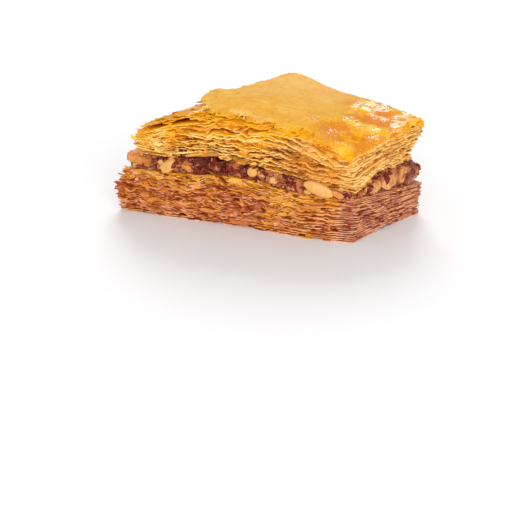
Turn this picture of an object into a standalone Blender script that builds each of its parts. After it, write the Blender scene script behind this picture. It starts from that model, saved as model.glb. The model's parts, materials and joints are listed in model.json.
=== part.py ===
# A cut piece of baklava from the edge of the tray: a stack of thin pastry leaves,
# a layer of chopped nuts, and a second stack of leaves with a raised golden crust.
# Metres, +Z up. The long diagonal cut faces -Y and the piece rests on its flat base.
#
# Seen from above the piece is a trapezoid. Two cuts run side by side, the tray's wall
# is square to them, and the diagonal cut closes the shape. Its corners are named
# LEFT, FRONT, RIGHT and BACK, and heights are laid out on a unit square (u, v):
# u runs from LEFT to FRONT along the diagonal cut, v from that cut back to the wall.

import math

import bmesh
import bpy
import numpy as np

MM = 0.001

# Driving dimensions of the trapezoid at the crust
DIAGONAL_CUT = 64.5 * MM
SHORT_CUT = 31.5 * MM
CUT_ANGLE = math.radians(61.0)

# Heights above the base at the four corners: LEFT, FRONT, RIGHT, BACK
LOWER_STACK_TOP = [14.4 * MM, 14.2 * MM, 10.2 * MM, 12.5 * MM]
UPPER_STACK_FOOT = [18.6 * MM, 15.2 * MM, 18.0 * MM, 18.4 * MM]
CRUST_TOP = [29.6 * MM, 27.2 * MM, 31.2 * MM, 30.6 * MM]
LAYER_GAP = 0.3 * MM
HIDDEN_GAP = 0.5 * MM
# How far the lowest leaves swell out near the diagonal cut's FRONT end
BELLY = 2.2 * MM

# Pastry leaves drawn as ridges round each stack
LOWER_LEAVES = 7
UPPER_LEAVES = 8
# Samples along the diagonal cut, the short cut, the tray wall and the long cut
SIDE_SAMPLES = (33, 17, 24, 26)

# The chopped nuts: how many show along each side, and their width
NUTS_ON_SIDE = (13, 6, 8, 8)
NUT_WIDTH = (3.4 * MM, 5.8 * MM)

# Where each corner stands at the foot, inside and at the top of a stack, as
# (level, x, y) in millimetres from the crust's FRONT corner. The leaves slide over
# each other when the piece is cut, so the lower stack reaches further to the LEFT.
LOWER_CORNERS = (
    [(0.0, -71.4, -2.0), (0.15, -74.0, -2.2), (0.4, -73.4, -2.0), (1.0, -70.4, -1.4)],
    [(0.0, 2.0, -0.5), (1.0, 2.2, -0.4)],
    [(0.0, 15.4, 28.0), (1.0, 15.8, 28.6)],
    [(0.0, -36.5, 55.4), (1.0, -35.5, 54.8)],
)
UPPER_CORNERS = (
    [(0.0, -64.6, -0.6), (0.35, -67.9, -0.8), (1.0, -65.4, 0.0)],
    [(0.0, 2.4, -0.6), (0.5, 1.6, -0.3), (1.0, 0.0, 0.0)],
    [(0.0, 12.0, 23.4), (0.5, 14.4, 27.0), (1.0, 15.4, 27.6)],
    [(0.0, -34.4, 54.6), (1.0, -34.0, 54.9)],
)
FILLING_CORNERS = (
    [(0.0, -66.5, -0.4)],
    [(0.0, 0.4, 0.2)],
    [(0.0, 13.2, 25.4)],
    [(0.0, -34.4, 53.8)],
)


def smooth_step(low, high, x):
    """0 below low, 1 above high, and a smooth rise between."""
    t = np.clip((np.asarray(x, float) - low) / (high - low), 0.0, 1.0)
    return t * t * (3.0 - 2.0 * t)


def bell(x, middle, half_width):
    """A bump of height 1 round the middle."""
    return np.exp(-(((x - middle) / half_width) ** 2))


def unit_place(x, y):
    """(u, v) of a point seen from above, on the crust's trapezoid."""
    along_cut = y / math.sin(CUT_ANGLE)
    from_front = along_cut * math.cos(CUT_ANGLE) - x
    u = 1 - from_front / DIAGONAL_CUT
    v = along_cut / (SHORT_CUT + from_front * math.cos(CUT_ANGLE))
    return np.clip(u, -0.05, 1.05), np.clip(v, -0.05, 1.05)


def between_corners(values, u, v):
    """Blends four corner values, LEFT, FRONT, RIGHT and BACK, over the unit square."""
    left, front, right, back = values
    near = left * (1 - u) + front * u
    far = back * (1 - u) + right * u
    return near * (1 - v) + far * v


def lower_stack_top(x, y):
    """The lower stack's top, swollen a little behind the middle of the diagonal cut."""
    u, v = unit_place(x, y)
    swell = 1.7 * MM * bell(u, 0.45, 0.2) - 0.8 * MM * bell(u, 0.78, 0.1)
    swell = swell * (1 - smooth_step(0.0, 0.6, v))
    return between_corners(LOWER_STACK_TOP, u, v) + swell


def upper_stack_foot(x, y):
    """The upper stack's underside, arched over the nuts in front and at the short cut."""
    u, v = unit_place(x, y)
    arch = 2.6 * MM * bell(u, 0.55, 0.36) * (1 - v)
    side_arch = 2.4 * MM * bell(v, 0.4, 0.26) * bell(u, 1, 0.5)
    return between_corners(UPPER_STACK_FOOT, u, v) + arch + side_arch


def crust_top(x, y):
    """The crust: puffed behind the diagonal cut and pinched at the FRONT corner. The
    topmost leaf has flaked off at the LEFT corner, and curls up where it starts."""
    u, v = unit_place(x, y)
    crown = smooth_step(0.0, 0.28, u) * (1 - smooth_step(0.74, 1.0, u))
    crown = crown * (1 - smooth_step(0.1, 0.9, v))
    pinch = np.exp(-((1 - u) ** 2 + v**2) / 0.06**2)
    whole = smooth_step(0.86, 1.0, u / 0.36 + v / 0.42)
    curl = whole * bell(v, 0.46, 0.09) * (1 - smooth_step(0.0, 0.16, u))
    dip = 0.9 * MM * bell(u, 0.4, 0.25) * smooth_step(0.4, 1.0, v)
    height = between_corners(CRUST_TOP, u, v) + 5.2 * MM * crown - 1.0 * MM * pinch - dip
    return height + 1.3 * MM * (whole - 1) + 1.0 * MM * whole * (1 - u) + 1.8 * MM * curl


def level_between(foot, top, level):
    """The height at a level between two surfaces, as a function of (x, y)."""
    return lambda x, y: foot(x, y) + (top(x, y) - foot(x, y)) * level


class Waves:
    """An irregular line that closes on itself: sine waves with seeded turns and phases."""

    def __init__(self, seed, lowest, highest, count=9):
        draw = np.random.default_rng(seed)
        self.turns = draw.integers(lowest, highest + 1, count)
        self.phases = draw.uniform(0, 2 * math.pi, count)

    def at(self, s):
        angle = 2 * math.pi * np.multiply.outer(s, self.turns) + self.phases
        return np.clip(np.sin(angle).sum(-1) / math.sqrt(len(self.turns)), -1.6, 1.6)


def unit_outline():
    """(u, v) round the unit square, anticlockwise from LEFT, how far round each point
    lies, and how far it is from a corner, from 0 at the corner to 1."""
    along = [np.arange(n) / n for n in SIDE_SAMPLES]
    to_right, to_left = np.ones(SIDE_SAMPLES[1]), np.zeros(SIDE_SAMPLES[3])
    u = np.concatenate([along[0], to_right, 1 - along[2], to_left])
    v = np.concatenate([0 * along[0], along[1], 1 + 0 * along[2], 1 - along[3]])
    steps = np.concatenate([np.minimum(np.arange(n), n - np.arange(n)) for n in SIDE_SAMPLES])
    return u, v, np.arange(len(u)) / len(u), smooth_step(0, 3, steps)


def corner_places(corners, level):
    """The four corners' x and their y at a level of the stack."""
    xs, ys = [], []
    for keys in corners:
        levels, key_xs, key_ys = zip(*keys)
        xs.append(np.interp(level, levels, key_xs) * MM)
        ys.append(np.interp(level, levels, key_ys) * MM)
    return xs, ys


def level_row(corners, level, reach, outward, height):
    """One row of points round the piece. reach is 1 at the cut and 0 in the middle,
    outward moves the points along the outline's normal, height is a function of (x, y)."""
    u, v, _, _ = unit_outline()
    u, v = 0.5 + (u - 0.5) * reach, 0.5 + (v - 0.5) * reach
    xs, ys = corner_places(corners, level)
    x, y = between_corners(xs, u, v), between_corners(ys, u, v)
    # The knife leaves corners a little blunt.
    x = (np.roll(x, 1) + 2 * x + np.roll(x, -1)) / 4
    y = (np.roll(y, 1) + 2 * y + np.roll(y, -1)) / 4
    along_x, along_y = np.roll(x, -1) - np.roll(x, 1), np.roll(y, -1) - np.roll(y, 1)
    length = np.hypot(along_x, along_y)
    x, y = x + outward * along_y / length, y - outward * along_x / length
    return list(zip(x, y, height(x, y)))


def middle_point(corners, height):
    xs, ys = corner_places(corners, 0.5)
    x, y = between_corners(xs, 0.5, 0.5), between_corners(ys, 0.5, 0.5)
    return float(x), float(y), float(height(x, y))


def leaf_rows(corners, leaves, foot, top, seed, belly=0.0):
    """The wall of a stack: for each leaf a ridge, then the groove under the next one.
    The grooves open into lens-shaped gaps and close where the leaves stick together.
    belly swells the wall, most at its foot."""
    _, _, s, off_corner = unit_outline()
    rows = []
    for i in range(leaves):
        ripple = np.clip(Waves(seed + i, 5, 19).at(s), -1, 1) * (0 < i < leaves - 1)
        ragged = Waves(seed + 40 + i, 9, 46).at(s)
        opening = np.clip(Waves(seed + 80 + i, 5, 17).at(s), 0, 1.4)
        slide = 0.35 * Waves(seed + 120 + i, 1, 4).at(s)
        ridge = (0.4 * ragged + slide + 0.3) * MM
        groove = (-0.4 - 1.2 * opening + slide) * MM
        for share, out in ((0.3, ridge), (0.78, groove)):
            if i == leaves - 1 and share > 0.5:
                break
            level = (i + share + 0.22 * ripple) / leaves
            height = level_between(foot, top, level)
            out = np.where(out < 0, out * off_corner, out) + belly * (1 - level)
            rows.append(level_row(corners, level, 1.0, out, height))
    return rows


def finished(name, bm, material):
    """An object from a mesh."""
    bmesh.ops.triangulate(bm, faces=bm.faces)
    mesh = bpy.data.meshes.new(name)
    bm.to_mesh(mesh)
    bm.free()
    mesh.materials.append(material)
    mesh.shade_smooth()
    mesh.set_sharp_from_angle(angle=math.radians(35))
    made = bpy.data.objects.new(name, mesh)
    bpy.context.scene.collection.objects.link(made)
    return made


def skin(name, rows, foot, crown, material):
    """A closed mesh from rows of points round the piece, closed by a point at each end."""
    bm = bmesh.new()
    rings = [[bm.verts.new(place) for place in row] for row in rows]
    count = len(rings[0])
    for lower, upper in zip(rings, rings[1:]):
        for i in range(count):
            j = (i + 1) % count
            bm.faces.new((lower[i], lower[j], upper[j], upper[i]))
    bottom, top = bm.verts.new(foot), bm.verts.new(crown)
    for i in range(count):
        j = (i + 1) % count
        bm.faces.new((rings[0][j], rings[0][i], bottom))
        bm.faces.new((rings[-1][i], rings[-1][j], top))
    return finished(name, bm, material)


def lower_pastry(material):
    """The lower stack, flat underneath."""
    def ground(x, y):
        return 0.0 * x

    def hidden_top(x, y):
        return lower_stack_top(x, y) - HIDDEN_GAP

    u, v, _, _ = unit_outline()
    belly = BELLY * bell(u, 0.82, 0.16) * (v == 0)
    rows = [
        level_row(LOWER_CORNERS, 0.0, 0.6, 0.0, ground),
        level_row(LOWER_CORNERS, 0.0, 0.985, belly, ground),
    ]
    rows += leaf_rows(LOWER_CORNERS, LOWER_LEAVES, ground, lower_stack_top, 11, belly)
    rows.append(level_row(LOWER_CORNERS, 1.0, 0.965, 0.0, lower_stack_top))
    rows += [level_row(LOWER_CORNERS, 1.0, reach, 0.0, hidden_top) for reach in (0.8, 0.6, 0.35)]
    foot, crown = middle_point(LOWER_CORNERS, ground), middle_point(LOWER_CORNERS, hidden_top)
    return skin("pastry_bottom", rows, foot, crown, material)


def upper_pastry(material):
    """The upper stack with its blistered crust."""
    def foot(x, y):
        return upper_stack_foot(x, y) + LAYER_GAP

    _, _, s, _ = unit_outline()
    blister = Waves(301, 3, 11)
    rows = [level_row(UPPER_CORNERS, 0.0, reach, 0.0, foot) for reach in (0.35, 0.7, 0.95)]
    rows += leaf_rows(UPPER_CORNERS, UPPER_LEAVES, foot, crust_top, 211)
    for reach in (0.975, 0.93, 0.86, 0.76, 0.62, 0.44, 0.22):
        swell = 0.35 * MM * blister.at(s + 0.4 * reach) * smooth_step(0.1, 0.8, reach)

        def crust(x, y, swell=swell):
            return crust_top(x, y) + swell

        rows.append(level_row(UPPER_CORNERS, 1.0, reach, 0.0, crust))
    under, crown = middle_point(UPPER_CORNERS, foot), middle_point(UPPER_CORNERS, crust_top)
    return skin("pastry_top", rows, under, crown, material)


def filling_foot(x, y):
    return lower_stack_top(x, y) + LAYER_GAP


def filling_core(material):
    """The pressed nut layer, a shade inside the cut and thinning out at FRONT."""
    def hidden_top(x, y):
        return upper_stack_foot(x, y) - HIDDEN_GAP

    _, _, s, _ = unit_outline()
    lumps = Waves(401, 8, 30)
    rows = [
        level_row(FILLING_CORNERS, 0.0, reach, 0.0, filling_foot) for reach in (0.35, 0.6, 0.8, 0.94)
    ]
    for share, out in ((0.3, 0.0), (0.55, 0.2), (0.8, -0.2)):
        bulge = (out - 0.6 + 0.4 * lumps.at(s + share)) * MM
        height = level_between(filling_foot, upper_stack_foot, share)
        rows.append(level_row(FILLING_CORNERS, 0.0, 1.0, bulge, height))
    rows.append(level_row(FILLING_CORNERS, 0.0, 0.93, 0.0, upper_stack_foot))
    rows += [level_row(FILLING_CORNERS, 0.0, reach, 0.0, hidden_top) for reach in (0.7, 0.35)]
    foot = middle_point(FILLING_CORNERS, filling_foot)
    return skin("nut_filling", rows, foot, middle_point(FILLING_CORNERS, hidden_top), material)


def nut(x, y, size, tilt, turn, draw, material):
    """A chopped nut in the filling: an icosphere squashed to size with its corners
    knocked about, tilted and turned, and kept between the two pastry stacks."""
    bm = bmesh.new()
    bmesh.ops.create_icosphere(bm, subdivisions=1, radius=0.5)
    middle = (filling_foot(x, y) + upper_stack_foot(x, y)) / 2
    for vert in bm.verts:
        length, depth, height = vert.co * draw.uniform(0.9, 1.15)
        length, depth, height = length * size[0], depth * size[1], height * size[2]
        length, height = (
            length * math.cos(tilt) - height * math.sin(tilt),
            length * math.sin(tilt) + height * math.cos(tilt),
        )
        place_x = x + length * math.cos(turn) - depth * math.sin(turn)
        place_y = y + length * math.sin(turn) + depth * math.cos(turn)
        low = float(filling_foot(place_x, place_y)) + LAYER_GAP
        high = float(upper_stack_foot(place_x, place_y)) - LAYER_GAP
        vert.co = (place_x, place_y, min(max(middle + height, low), high))
    return finished("nut", bm, material)


def nuts_on_cuts(material):
    """Chopped nuts half out of every side of the filling, and three larger pieces."""
    draw = np.random.default_rng(5)
    xs, ys = corner_places(FILLING_CORNERS, 0.0)
    made = []
    for side, count in enumerate(NUTS_ON_SIDE):
        ahead = (side + 1) % 4
        turn = math.atan2(ys[ahead] - ys[side], xs[ahead] - xs[side])
        for i in range(count):
            share = (i + 0.5 + draw.uniform(-0.2, 0.2)) / count
            x = xs[side] + (xs[ahead] - xs[side]) * share
            y = ys[side] + (ys[ahead] - ys[side]) * share
            inside = draw.uniform(0.3, 1.3) * MM
            x, y = x - inside * math.sin(turn), y + inside * math.cos(turn)
            room = float(upper_stack_foot(x, y) - filling_foot(x, y))
            width = draw.uniform(*NUT_WIDTH)
            tall = min(width * draw.uniform(0.6, 0.9), room - 2 * LAYER_GAP)
            if tall < 1.2 * MM:
                continue
            size = (width, width * draw.uniform(0.7, 1.0), tall)
            spin = turn + draw.uniform(-0.6, 0.6)
            made.append(nut(x, y, size, draw.uniform(-0.4, 0.4), spin, draw, material))
    almond = (8.6 * MM, 1.8 * MM, 3.6 * MM)
    made.append(nut(-10.5 * MM, -0.4 * MM, almond, math.radians(-16), 0.0, draw, material))
    left_chunk = (8.4 * MM, 6.0 * MM, 4.4 * MM)
    made.append(nut(-65.0 * MM, 1.4 * MM, left_chunk, 0.1, -0.3, draw, material))
    walnut = (6.4 * MM, 4.6 * MM, 6.6 * MM)
    made.append(nut(12.0 * MM, 22.6 * MM, walnut, 0.3, CUT_ANGLE, draw, material))
    return made


def joined(core, pieces):
    """core with the pieces fused on."""
    group = bpy.data.collections.new("pieces")
    bpy.context.scene.collection.children.link(group)
    for piece in pieces:
        bpy.context.scene.collection.objects.unlink(piece)
        group.objects.link(piece)
    union = core.modifiers.new("union", "BOOLEAN")
    union.operation = "UNION"
    union.solver = "MANIFOLD"
    union.operand_type = "COLLECTION"
    union.collection = group
    graph = bpy.context.evaluated_depsgraph_get()
    whole = bpy.data.meshes.new_from_object(core.evaluated_get(graph))
    core.modifiers.clear()
    core.data = whole
    for piece in pieces:
        bpy.data.objects.remove(piece)
    bpy.data.collections.remove(group)


def food_material(name, colour, roughness):
    material = bpy.data.materials.new(name)
    material.use_nodes = True
    shader = material.node_tree.nodes["Principled BSDF"]
    shader.inputs["Base Color"].default_value = (*colour, 1.0)
    shader.inputs["Roughness"].default_value = roughness
    shader.inputs["Metallic"].default_value = 0.0
    return material


def stand_on_origin(parts):
    """Moves the meshes so that the middle of the piece's box stands over the origin."""
    points = np.array([vert.co for part in parts for vert in part.data.vertices])
    low, high = points.min(0), points.max(0)
    shift = np.array([-(low[0] + high[0]) / 2, -(low[1] + high[1]) / 2, -low[2]])
    for part in parts:
        for vert in part.data.vertices:
            vert.co = np.array(vert.co) + shift
    print("moved by", (shift / MM).round(3), "mm; box", ((high - low) / MM).round(2), "mm")


def main():
    for thing in list(bpy.data.objects):
        bpy.data.objects.remove(thing)
    crust = food_material("golden_pastry", (0.72, 0.43, 0.13), 0.5)
    soaked = food_material("soaked_pastry", (0.55, 0.27, 0.08), 0.35)
    nuts = food_material("chopped_nuts", (0.36, 0.2, 0.1), 0.6)
    filling = filling_core(nuts)
    joined(filling, nuts_on_cuts(nuts))
    stand_on_origin([lower_pastry(soaked), filling, upper_pastry(crust)])


main()
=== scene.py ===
# %% [markdown]
# A piece of baklava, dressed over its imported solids. The solids give the true
# outline and the three layers. This script lays real sheets of pastry round them,
# fills the middle with chopped nuts, bakes the crust and pours the syrup.

# %% Load the frame
import itertools
import json
import math

import bmesh
import bpy
import numpy as np
from mathutils import Matrix, Vector, noise

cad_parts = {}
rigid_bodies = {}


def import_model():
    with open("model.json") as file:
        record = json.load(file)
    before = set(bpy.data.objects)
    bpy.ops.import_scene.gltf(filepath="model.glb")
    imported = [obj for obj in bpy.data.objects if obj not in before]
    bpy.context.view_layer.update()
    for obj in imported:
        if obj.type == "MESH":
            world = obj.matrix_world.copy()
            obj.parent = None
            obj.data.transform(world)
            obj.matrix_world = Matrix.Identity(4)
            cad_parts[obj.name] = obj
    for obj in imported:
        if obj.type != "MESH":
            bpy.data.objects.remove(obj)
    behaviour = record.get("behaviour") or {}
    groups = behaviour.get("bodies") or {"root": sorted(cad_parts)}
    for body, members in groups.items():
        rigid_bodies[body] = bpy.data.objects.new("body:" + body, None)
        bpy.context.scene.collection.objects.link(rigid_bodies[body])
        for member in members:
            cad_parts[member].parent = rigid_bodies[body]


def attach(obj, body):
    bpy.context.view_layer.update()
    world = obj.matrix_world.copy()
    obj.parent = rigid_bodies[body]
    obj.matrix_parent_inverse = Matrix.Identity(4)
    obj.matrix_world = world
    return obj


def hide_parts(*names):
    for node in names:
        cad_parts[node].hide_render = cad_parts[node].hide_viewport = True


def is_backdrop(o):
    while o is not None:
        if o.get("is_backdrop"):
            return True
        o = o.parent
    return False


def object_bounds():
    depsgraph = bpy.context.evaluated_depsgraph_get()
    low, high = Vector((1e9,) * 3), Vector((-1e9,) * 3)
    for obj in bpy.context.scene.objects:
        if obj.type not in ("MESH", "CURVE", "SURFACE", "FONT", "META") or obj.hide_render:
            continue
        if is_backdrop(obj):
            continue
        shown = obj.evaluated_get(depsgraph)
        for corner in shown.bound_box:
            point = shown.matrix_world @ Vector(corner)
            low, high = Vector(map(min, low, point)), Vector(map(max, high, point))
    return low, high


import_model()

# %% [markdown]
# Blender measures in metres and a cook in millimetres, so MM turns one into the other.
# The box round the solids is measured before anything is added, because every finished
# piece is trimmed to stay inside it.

MM = 0.001
CAD_LOW, CAD_HIGH = (np.array(corner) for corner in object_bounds())
print("solids span", [round((b - a) / MM, 1) for a, b in zip(CAD_LOW, CAD_HIGH)], "mm")

# %% [markdown]
# Arithmetic on sockets. A node tree is easier to read as a formula, so one small
# class wraps an output socket and turns sums and products into nodes. The same
# class serves materials and geometry.

# %% A socket that takes part in arithmetic


class Wire:
    """An output socket. Arithmetic on it adds the node that does the sum."""

    def __init__(self, tree, socket=None):
        self.tree, self.socket = tree, socket

    def node(self, kind, settings=None, inputs=None, output=0):
        """Any other node: its type, its settings, then its sockets' values or links."""
        made = self.tree.nodes.new(kind)
        for name, value in (settings or {}).items():
            setattr(made, name, value)
        for name, value in (inputs or {}).items():
            socket = made.inputs[name]
            if isinstance(value, Wire):
                self.tree.links.new(value.socket, socket)
            elif hasattr(socket.default_value, "__len__") and not hasattr(value, "__len__"):
                socket.default_value = [value] * len(socket.default_value)
            else:
                socket.default_value = value
        return Wire(self.tree, made.outputs[output])

    def maths(self, operation, *values):
        kinds = {value.socket.type for value in values if isinstance(value, Wire)}
        vectors = kinds & {"VECTOR", "RGBA"}
        kind = "ShaderNodeVectorMath" if vectors else "ShaderNodeMath"
        return self.node(kind, {"operation": operation}, dict(enumerate(values)))

    def __add__(self, other):
        return self.maths("ADD", self, other)

    def __sub__(self, other):
        return self.maths("SUBTRACT", self, other)

    def __rsub__(self, other):
        return self.maths("SUBTRACT", other, self)

    def __mul__(self, other):
        return self.maths("MULTIPLY", self, other)

    def __truediv__(self, other):
        return self.maths("DIVIDE", self, other)

    def __pow__(self, other):
        return self.maths("POWER", self, other)

    __radd__ = __add__
    __rmul__ = __mul__

    def part(self, axis):
        return self.node("ShaderNodeSeparateXYZ", {}, {0: self}, axis)


# %% [markdown]
# Formulas. A smooth step and a bell are enough to describe where something starts, ends
# or swells. They work on arrays and on sockets alike, so mesh code and node trees share
# one shape.

# %% Steps and bells


def limited(x, low, high):
    if isinstance(x, Wire):
        return x.maths("MINIMUM", x.maths("MAXIMUM", x, low), high)
    return np.clip(x, low, high)


def smooth_step(low, high, x):
    """0 below low, 1 above high, and a smooth rise between. It falls where low is the larger."""
    t = limited((x - low) / (high - low), 0.0, 1.0)
    return t * t * (3.0 - 2.0 * t)


def bell(x, middle, half_width):
    """A bump of height 1 round the middle."""
    t = (x - middle) / half_width
    t = t * t * -1.0
    return t.maths("EXPONENT", t) if isinstance(t, Wire) else np.exp(t)


# %% [markdown]
# The plan of the piece. Two parallel cuts, the tray's wall and one diagonal cut make
# a trapezoid with corners LEFT, FRONT, RIGHT and BACK. A unit square is laid over it:
# u runs along the diagonal cut from LEFT to FRONT, and v away from that cut. Every
# height is a formula on (u, v).

# %% The plan as a unit square
FRONT_CORNER = (28.823 * MM, -26.022 * MM)
DIAGONAL_CUT = 64.5 * MM
SHORT_CUT = 31.5 * MM
CUT_ANGLE = math.radians(61.0)


def unit_place(x, y):
    along_cut = (y - FRONT_CORNER[1]) / math.sin(CUT_ANGLE)
    from_front = along_cut * math.cos(CUT_ANGLE) - (x - FRONT_CORNER[0])
    u = 1.0 - from_front / DIAGONAL_CUT
    v = along_cut / (from_front * math.cos(CUT_ANGLE) + SHORT_CUT)
    return limited(u, -0.05, 1.05), limited(v, -0.05, 1.05)


def between_corners(values, u, v):
    left, front, right, back = values
    near = (1.0 - u) * left + u * front
    far = (1.0 - u) * back + u * right
    return near * (1.0 - v) + far * v


# %% Heights of the layers
# The crust has flaked off at LEFT, up to about u / TEAR_U + v / TEAR_V = 1.
TEAR_U, TEAR_V = 0.36, 0.42


def ground(x, y):
    return x * 0.0


def lower_stack_top(x, y):
    u, v = unit_place(x, y)
    swell = bell(u, 0.45, 0.2) * (1.7 * MM) - bell(u, 0.78, 0.1) * (0.8 * MM)
    level = between_corners([14.4 * MM, 14.2 * MM, 10.2 * MM, 12.5 * MM], u, v)
    return level + swell * (1.0 - smooth_step(0.0, 0.6, v))


def upper_stack_foot(x, y):
    u, v = unit_place(x, y)
    arch = bell(u, 0.55, 0.36) * (1.0 - v) * (2.6 * MM)
    side_arch = bell(v, 0.4, 0.26) * bell(u, 1.0, 0.5) * (2.4 * MM)
    return between_corners([18.6 * MM, 15.2 * MM, 18.0 * MM, 18.4 * MM], u, v) + arch + side_arch


def crust_height(u, v):
    """The whole crust before any leaf flakes off."""
    crown = smooth_step(0.0, 0.28, u) * (1.0 - smooth_step(0.74, 1.0, u))
    crown = crown * (1.0 - smooth_step(0.1, 0.9, v))
    pinch = bell(u, 1.0, 0.06) * bell(v, 0.0, 0.06)
    dip = bell(u, 0.4, 0.25) * smooth_step(0.4, 1.0, v)
    level = between_corners([29.6 * MM, 27.2 * MM, 31.2 * MM, 30.6 * MM], u, v)
    return level + crown * (5.2 * MM) - pinch * (1.0 * MM) - dip * (0.9 * MM)


def wall_curl(u, v):
    """The topmost leaf curls up half-way along the tray's wall."""
    return bell(v, 0.46, 0.09) * (1.0 - smooth_step(0.0, 0.16, u)) * (1.8 * MM)


def crust_top(x, y):
    u, v = unit_place(x, y)
    whole = smooth_step(0.86, 1.0, u / TEAR_U + v / TEAR_V)
    raised = whole * (1.0 - u) * (1.0 * MM) - (1.0 - whole) * (1.3 * MM)
    return crust_height(u, v) + raised + whole * wall_curl(u, v)


print("crust over the middle of the base", round(float(crust_top(0.0, 0.0)) / MM, 1), "mm")

# %% [markdown]
# The outline of each layer. A cut isn't quite upright, so each corner has a few places,
# given as (level, x, y): the level runs from 0 at the layer's foot to 1 at its top, and
# x and y are millimetres from the FRONT corner.

# %% Where the corners stand
LOWER_CORNERS = (
    [(0.0, -71.4, -2.0), (0.15, -74.0, -2.2), (0.4, -73.4, -2.0), (1.0, -70.4, -1.4)],
    [(0.0, 2.0, -0.5), (1.0, 2.2, -0.4)],
    [(0.0, 15.4, 28.0), (1.0, 15.8, 28.6)],
    [(0.0, -36.5, 55.4), (1.0, -35.5, 54.8)],
)
UPPER_CORNERS = (
    [(0.0, -64.6, -0.6), (0.35, -67.9, -0.8), (1.0, -65.4, 0.0)],
    [(0.0, 2.4, -0.6), (0.5, 1.6, -0.3), (1.0, 0.0, 0.0)],
    [(0.0, 12.0, 23.4), (0.5, 14.4, 27.0), (1.0, 15.4, 27.6)],
    [(0.0, -34.4, 54.6), (1.0, -34.0, 54.9)],
)
FILLING_CORNERS = (
    [(0.0, -67.5, -1.6)],
    [(0.0, 1.4, -0.9)],
    [(0.0, 13.6, 26.0)],
    [(0.0, -34.6, 54.4)],
)


def corner_places(corners, level):
    xs, ys = [], []
    for keys in corners:
        levels, key_xs, key_ys = zip(*keys)
        xs.append(np.interp(level, levels, key_xs) * MM + FRONT_CORNER[0])
        ys.append(np.interp(level, levels, key_ys) * MM + FRONT_CORNER[1])
    return xs, ys


def middle_of(corners, level):
    xs, ys = corner_places(corners, level)
    return (float(np.mean(xs)), float(np.mean(ys)), 0.0)


def outline(corners, level, samples=480, reach=1.0):
    """Points (x, y) round one level of a layer, anticlockwise, with blunt corners."""
    xs, ys = corner_places(corners, level)
    around = np.arange(samples) / samples * 4
    side, share = around.astype(int), around % 1
    u = np.choose(side, [share, 1 + 0 * share, 1 - share, 0 * share])
    v = np.choose(side, [0 * share, share, 1 + 0 * share, 1 - share])
    u, v = 0.5 + (u - 0.5) * reach, 0.5 + (v - 0.5) * reach
    points = np.stack([between_corners(xs, u, v), between_corners(ys, u, v)], -1)
    for _ in range(2):
        points = (np.roll(points, 1, 0) + 2 * points + np.roll(points, -1, 0)) / 4
    return points


print("outlines have", len(outline(LOWER_CORNERS, 0.0)), "points")

# %% [markdown]
# From a node tree to a plain mesh. A modifier holds the tree while the shape is made.
# The evaluated result is then copied to a plain mesh, so that nothing live is left on
# the finished piece, and the curves and sample shapes that the tree used are removed.

# %% Small helpers for objects
TRIM = np.array([0.03, 0.03, 0.0]) * MM


def link(thing):
    bpy.context.scene.collection.objects.link(thing)
    return thing


def curve_object(name, points):
    curve = bpy.data.curves.new(name, "CURVE")
    curve.dimensions = "3D"
    spline = curve.splines.new("POLY")
    spline.points.add(len(points) - 1)
    for spot, (x, y) in zip(spline.points, points):
        spot.co = (x, y, 0.0, 1.0)
    spline.use_cyclic_u = True
    return link(bpy.data.objects.new(name, curve))


def collected(name, shapes):
    """A collection of sample shapes, for a tree to pick from."""
    collection = bpy.data.collections.new(name)
    for shape in shapes:
        collection.objects.link(shape)
    return collection


def plain_mesh(name, bm):
    mesh = bpy.data.meshes.new(name)
    bm.to_mesh(mesh)
    bm.free()
    return mesh


def mark(mesh, label, values):
    """Stores a number on every point of a mesh, for its material to read."""
    mesh.attributes.new(label, "FLOAT", "POINT").data.foreach_set("value", values)


def keep(piece, slot, *nodes):
    """Trims a finished piece to the solids' box, attaches it to the root body and
    hides the solids it replaces.
    """
    places = np.empty(3 * len(piece.data.vertices))
    piece.data.vertices.foreach_get("co", places)
    inside = np.clip(places.reshape(-1, 3), CAD_LOW + TRIM, CAD_HIGH - TRIM)
    piece.data.vertices.foreach_set("co", inside.ravel())
    piece.data.update()
    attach(piece, "root")
    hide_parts(*nodes)
    return piece


# %% Run a tree and keep the mesh


def remove_helper(thing):
    if isinstance(thing, bpy.types.Object):
        bpy.data.objects.remove(thing)
    elif isinstance(thing, bpy.types.Collection):
        for shape in list(thing.objects):
            bpy.data.objects.remove(shape)
        bpy.data.collections.remove(thing)


def grow(name, tree, values):
    """A plain mesh object from a geometry tree and the values of its named inputs."""
    holder = link(bpy.data.objects.new(name, bpy.data.meshes.new(name + "_start")))
    modifier = holder.modifiers.new("tree", "NODES")
    modifier.node_group = tree
    for item in tree.interface.items_tree:
        if item.in_out == "INPUT" and item.name in values:
            modifier[item.identifier] = values[item.name]
    graph = bpy.context.evaluated_depsgraph_get()
    mesh = bpy.data.meshes.new_from_object(holder.evaluated_get(graph))
    holder.modifiers.clear()
    holder.data = mesh
    mesh.name = name
    for value in values.values():
        remove_helper(value)
    print(name, len(mesh.vertices), "points", sum(len(p.vertices) - 2 for p in mesh.polygons), "triangles")
    return holder


# %% [markdown]
# What all the trees have in common. Each has named inputs, ends by setting its material,
# and works with the same few things: noise, numbers stored under a name, places on an
# outline, and random draws with a fixed seed.

# %% Start and end of a tree


def tree_with_inputs(name, inputs):
    """A geometry tree and its inputs by name. inputs gives each one's first value, or else
    its kind as a word."""
    tree = bpy.data.node_groups.new(name, "GeometryNodeTree")
    for label, value in inputs.items():
        kind = value if isinstance(value, str) else type(value).__name__.capitalize()
        socket = tree.interface.new_socket(label, in_out="INPUT", socket_type="NodeSocket" + kind)
        if kind != value:
            socket.default_value = value
    tree.interface.new_socket("Shape", in_out="OUTPUT", socket_type="NodeSocketGeometry")
    group_input = tree.nodes.new("NodeGroupInput")
    given = {socket.name: Wire(tree, socket) for socket in group_input.outputs if socket.name}
    return Wire(tree), given


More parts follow.
